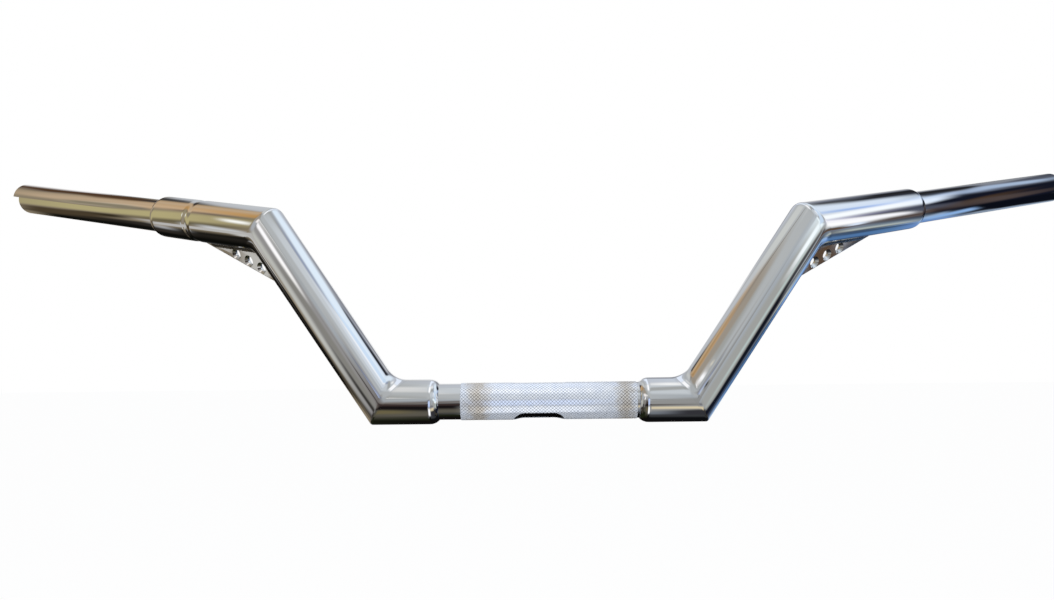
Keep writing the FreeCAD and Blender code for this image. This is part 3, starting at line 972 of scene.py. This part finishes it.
hang("clutchArm", [
    ("fill", 0, 178, 1, 23.5, 22, 4.5, 0, "131623"),
    ("blue", -142.5, 29, 14, 39.5, 9, 5, -0.2, "4f74a1"),
    ("blueGrip", -148.5, 27.5, 14, 33, 3.5, 2, 2.5, "5e87c6"),
    ("farGrey", -119, 24, 14, 20.5, 7, 9, -0.6, "9eafc4"),
    ("navyLow", -116.5, 21, 14, 44.5, 4.5, 2, 1.3, "1d2c4b"),
    ("white", -73.5, 23.5, 14, 41, 10.5, 4.5, -0.9, "f5f5f5"),
    ("whiteGrip", -58, 20, 14, 33.5, 4.5, 12, -1.3, "c3c2c2"),
    ("farRoof", -38.5, 42, 14, 24, 4, 1.5, -1.6, "84878b"),
    ("black", -24.5, 11.5, 12, 37, 10.5, 1.5, -0.4, "262627"),
    ("sky", 32.5, 27.5, 14, 43.5, 9, 5, 0.8, "d7e3f1"),
    ("skyGrip", 26.5, 9, 14, 31, 5, 1.5, -2.5, "cedff7"),
    ("skyFar", 19.5, 16.5, 14, 24.5, 5, 5.5, -0.2, "9dafcb"),
    ("blueStreak", 50, 7, 7, 41.5, 5, 6, 0.8, "769bd7"),
    ("greyGrip", 47.5, 8, 14, 37, 1.5, 12, 0.4, "b4cdfb"),
    ("whiteMid", 66.5, 14, 10.5, 41.5, 8, 1.5, -1.1, "f9fdff"),
    ("streak", 92.5, 3, 14, 47, 4.5, 12, -0.7, "dddcff"),
    ("creamCard", 113.5, 14, 11, 43.5, 8, 3.5, 0.8, "ffffff"),
    ("greyGrip2", 109, 15, 13, 31.5, 6, 1.5, 0.7, "4b505f"),
    ("brownFar", 101.5, 16.5, 14, 21, 7, 8.5, -2.5, "483728"),
    ("brownGrip", 131, 11.5, 13.5, 36.5, 4.5, 2.5, -0.7, "4c3e39"),
    ("dark", 144.5, 8, 2.5, 46, 5, 2, -0.4, "61585a"),
    ("greenish", 164.5, 4, 13.5, 40, 4.5, 2, 1.1, "dde5d9"),
    ("paleLow", 178.5, 13, 12.5, 32.5, 2.5, 1.5, -2.3, "a7c5ec"),
])

# Smaller cards before those, the knurled band's own last of all
hang("throttleStub", [
    ("broadGrey", 20.5, 48, 14, 80.5, 22, 7, -2.5, "afb2b2"),
    ("brownLine", 95.5, 6, 9.5, 75, 16.5, 6, 1, "60564f"),
    ("lowShade", 123, 12, 10.5, 79.5, 10.5, 9, -1.6, "161213"),
    ("paleCore", 20.5, 14, 10.5, 77.5, 3.5, 1.5, -0.4, "dcdbd7"),
])
hang("clutchStub", [
    ("lowHaze", 125.5, 30.5, 8.5, 84, 14, 1, -1.5, "90908e"),
    ("paleFront", 28, 24.5, 8.5, 84, 17.5, 3, 1.2, "c3c8cb"),
    ("creamEdge", 132, 6, 6, 68, 12.5, 1, 0.2, "d9cbaa"),
    ("darkFloor", -129.5, 29, 14, 91.5, 15.5, 6, 0.8, "0f0c0c"),
    ("paleOver", -32.5, 22, 13, 88, 14, 9, 0.4, "bbc0c8"),
    ("greyCore", 25.5, 9.5, 6, 74, 9.5, 4.5, -1.4, "a1a3a1"),
    ("greyLow", 179.5, 4.5, 13, 78.5, 22, 1, 0.6, "3e4042"),
])
hang("throttleRiser", [
    ("slateRoof", -29, 5, 13.5, 92, 13, 2, -0.6, "717786"),
    ("greyLoft", -54.5, 12, 13.5, 81, 10.5, 10, -0.5, "84868d"),
    ("darkSide", -156.5, 9, 14, 80, 11, 2, 0.5, "221f1b"),
    ("blackSpot", -25, 6, 4, 91, 5.5, 1, 0, "222225"),
    ("brownSeam", 83.5, 2, 2.2, 88.2, 2.4, 2.2, 0, "342e2e"),
    ("brownSeamLow", 106, 1.6, 2, 88.6, 2.2, 2.2, 0, "2e2a28"),
])
hang("clutchRiser", [
    ("steelEdge", -155.5, 26, 4.5, 73.5, 1, 9, -2.4, "8193a5"),
    ("sandWall", -13.5, 5, 7, 92, 16.5, 2, 0.3, "b9a285"),
    ("paleWall", -30.5, 15.5, 13.5, 80, 17, 7.5, 2.5, "babdc0"),
    ("deepSlate", -155, 6, 7, 86, 6.5, 3, 0.8, "3a4d66"),
    ("whiteEnd", 43, 10.5, 7, 96, 6.5, 4, 0.7, "f7f1ed"),
    ("whiteFoot", 129.5, 28, 6, 64, 6, 5, 0.5, "f1fcff"),
    ("paleHead", -10, 18, 5, 72, 4.5, 4, 1.8, "c6c8c4"),
    ("brownThread", 18.3, 0.9, 1.4, 73, 4, 1.5, 1.82, "5f5548"),
    ("footGlint", 53.5, 8, 4, 88.95, 0.5, 0.4, 0, "ffffff"),
    ("footSpark", 56, 4, 3, 87.2, 0.12, 0.18, 0, "f4ecd4"),
    ("footThread", 82.5, 2, 2.5, 87.9, 1.6, 1.6, 0, "4a4745"),
    ("footSmudge", 90, 4, 2.5, 89.5, 0.4, 0.3, 0, "1e1918"),
])
hang("throttleArm", [
    ("umberRoof", -39, 22, 14, 23, 9.5, 3, -0.1, "4a3524"),
    ("paleLow", 128, 7, 2, 47, 13, 2, 0.6, "b5b3af"),
    ("umberBack", 114.5, 5, 2.5, 133.5, 14, 4, -0.8, "3b302e"),
    ("umberDeep", 149, 3, 13.5, 125, 22, 10, 1.1, "5d584f"),
    ("khakiDim", 57, 12, 7, 22.5, 8, 3, 0.3, "847b67"),
    ("umberSide", 143, 6.5, 2.5, 79.5, 14.5, 10, 1, "312c28"),
    ("palePlate", 138.5, 6, 1.5, 46.9, 2.4, 1.2, 0, "c0bfbb"),
])
hang("clutchArm", [
    ("skyNear", 51.5, 18, 14, 32.5, 3.5, 4, -2.3, "e3efff"),
    ("umberLine", 131.5, 3, 3, 49, 4.5, 2.5, 1.9, "41383c"),
    ("nightFar", -149.5, 48.5, 14, 12.5, 11.5, 2, 2.1, "0a0d16"),
    ("blueUnder", -174, 13.5, 11.5, 29, 5, 1.5, -1.9, "8aafdd"),
    ("blueFar", -4.5, 19.5, 14, 18, 6.5, 3, -1.9, "a2b4cd"),
    ("whiteLine", 101.5, 5, 8, 44, 7.5, 1, 1.7, "fcfbfe"),
    ("umberPlate", 138.5, 6, 1.5, 46.5, 2.6, 1, 0, "5b493a"),
    ("umberFar", 120.5, 22, 14, 17, 9.5, 10, 0.1, "4d423f"),
    ("nightLow", 153, 12, 1.5, 73.5, 13.5, 10, 0.8, "111422"),
    ("slateUnder", -171.5, 23, 9.5, 56, 6.5, 6.5, -2.4, "38455c"),
    ("paleGlint", 130, 6, 2, 43, 1, 1, -0.8, "dde8f7"),
    ("skyWide", 67, 32.5, 3, 72, 11.5, 5, -0.2, "ccdef1"),
])
hang("knurl", [
    ("topPale", -22, 26, 8, 90.5, 6.2, 0.8, 0, "e6eefa"),
    ("whiteCard", 22, 17, 7, 90.5, 6.2, 0.8, 0, "ffffff"),
    ("blueCard", 99, 16, 8, 90.5, 6.2, 0.8, 0, "bccdf0"),
    ("lowCard", 143, 20, 8, 90.5, 6.2, 0.8, 0, "ffffff"),
    ("lowDark", 203, 31, 9, 90.5, 6.2, 0.8, 0, "0c0b0a"),
])


def mirrored(vector, mirror):
    return Vector((vector.x * mirror, vector.y, vector.z))


def tentStations():  # for each tube its middle, its way, and the ways over it and beside it
    middles = {"Stub": (Vector(), clampWay), "Riser": ((lowerPoint + upperPoint) / 2, riserWay),
               "Arm": (upperPoint + armWay * studio["armMiddle"], armWay)}
    stations = {"room": (Vector(), Vector((0, 0, 1)), Vector((0, -1, 0)), Vector((1, 0, 0)))}
    for tube, (point, way) in middles.items():
        for side, mirror in zip(sides, (-1, 1)):
            along = mirrored(way, mirror)
            over = (Vector((0, 0, 1)) - along * along.z).normalized()
            stations[side + tube] = (mirrored(point, mirror), along, over, along.cross(over) * mirror)
    stations["knurl"] = stations["clutchStub"]
    return stations


def softEdge(distance, half, soft):
    share = np.clip((half + soft - distance) / (2 * soft), 0, 1)
    return share * share * (3 - 2 * share)


def paintTent(mesh):
    spots = np.empty(3 * len(mesh.vertices))
    mesh.vertices.foreach_get("co", spots)
    spots = spots.reshape(-1, 3)
    colour = np.tile(linear(studio["tentBase"]), (len(spots), 1))
    stations = tentStations()
    for station, cards in hungCards:
        point, along, over, beside = (np.array(part) for part in stations[station])
        ways = spots - point
        ways /= np.linalg.norm(ways, axis=1)[:, None]
        turns = np.degrees(np.arctan2(ways @ beside, ways @ over))
        cones = np.degrees(np.arccos(np.clip(ways @ along, -1, 1)))
        for name, turn, halfTurn, softTurn, cone, halfCone, softCone, slope, shade in cards:
            above = cones - (90 - cone if station == "room" else cone)  # heights count from the top there
            aside = (turns - turn + slope * above + 180) % 360 - 180
            mask = softEdge(abs(aside), halfTurn, softTurn) * softEdge(abs(above), halfCone, softCone)
            colour += (np.array(linear(shade)) - colour) * mask[:, None]
    paint = mesh.color_attributes.new("cards", "FLOAT_COLOR", "POINT")
    paint.data.foreach_set("color", colour.ravel())


def tentMaterial():
    material = bpy.data.materials.new("tentCloth")
    material.use_nodes = True
    tree = material.node_tree
    tree.nodes.remove(tree.nodes["Principled BSDF"])
    cards = addNode(tree, "Attribute", (-300, 0), attribute_name="cards")
    glow = addNode(tree, "Emission", (0, 0), {
        "Color": cards.outputs["Color"], "Strength": studio["tentGlow"]})
    feed(tree, tree.nodes["Material Output"], {"Surface": glow.outputs[0]})
    material.cycles.emission_sampling = "NONE"
    return material


def addTent():
    bm = bmesh.new()
    bmesh.ops.create_icosphere(bm, subdivisions=studio["tentFineness"], radius=studio["tentRadius"])
    bmesh.ops.reverse_faces(bm, faces=bm.faces)
    tent = addPiece("reflectionTent", bm, tentMaterial())
    paintTent(tent.data)
    for ray in ("camera", "diffuse", "transmission", "volume_scatter", "shadow"):
        setattr(tent, "visible_" + ray, False)


addFloor()
addWorld()
addKeyLight()
addTent()

view = {
    "lens": 30.74, "sensor": 36.0, "shift": -0.01186, "near": 0.01, "far": 200,
    "place": (0.0020, -0.6437, 0.0313), "yaw": 0.09, "pitch": 3.6, "roll": 0.6,
}
lens = bpy.data.cameras.new("photoCamera")
lens.sensor_width, lens.lens, lens.shift_x = view["sensor"], view["lens"], view["shift"]
lens.clip_start, lens.clip_end = view["near"], view["far"]
camera = bpy.data.objects.new("photoCamera", lens)
aim = (Matrix.Rotation(radians(view["yaw"]), 4, "Z")
       @ Matrix.Rotation(radians(90 + view["pitch"]), 4, "X")
       @ Matrix.Rotation(radians(-view["roll"]), 4, "Z"))
camera.matrix_world = Matrix.Translation(Vector(view["place"])) @ aim
bpy.context.scene.collection.objects.link(camera)
bpy.context.scene.camera = camera
bpy.context.scene.view_settings.view_transform = "Standard"
print("studio built")
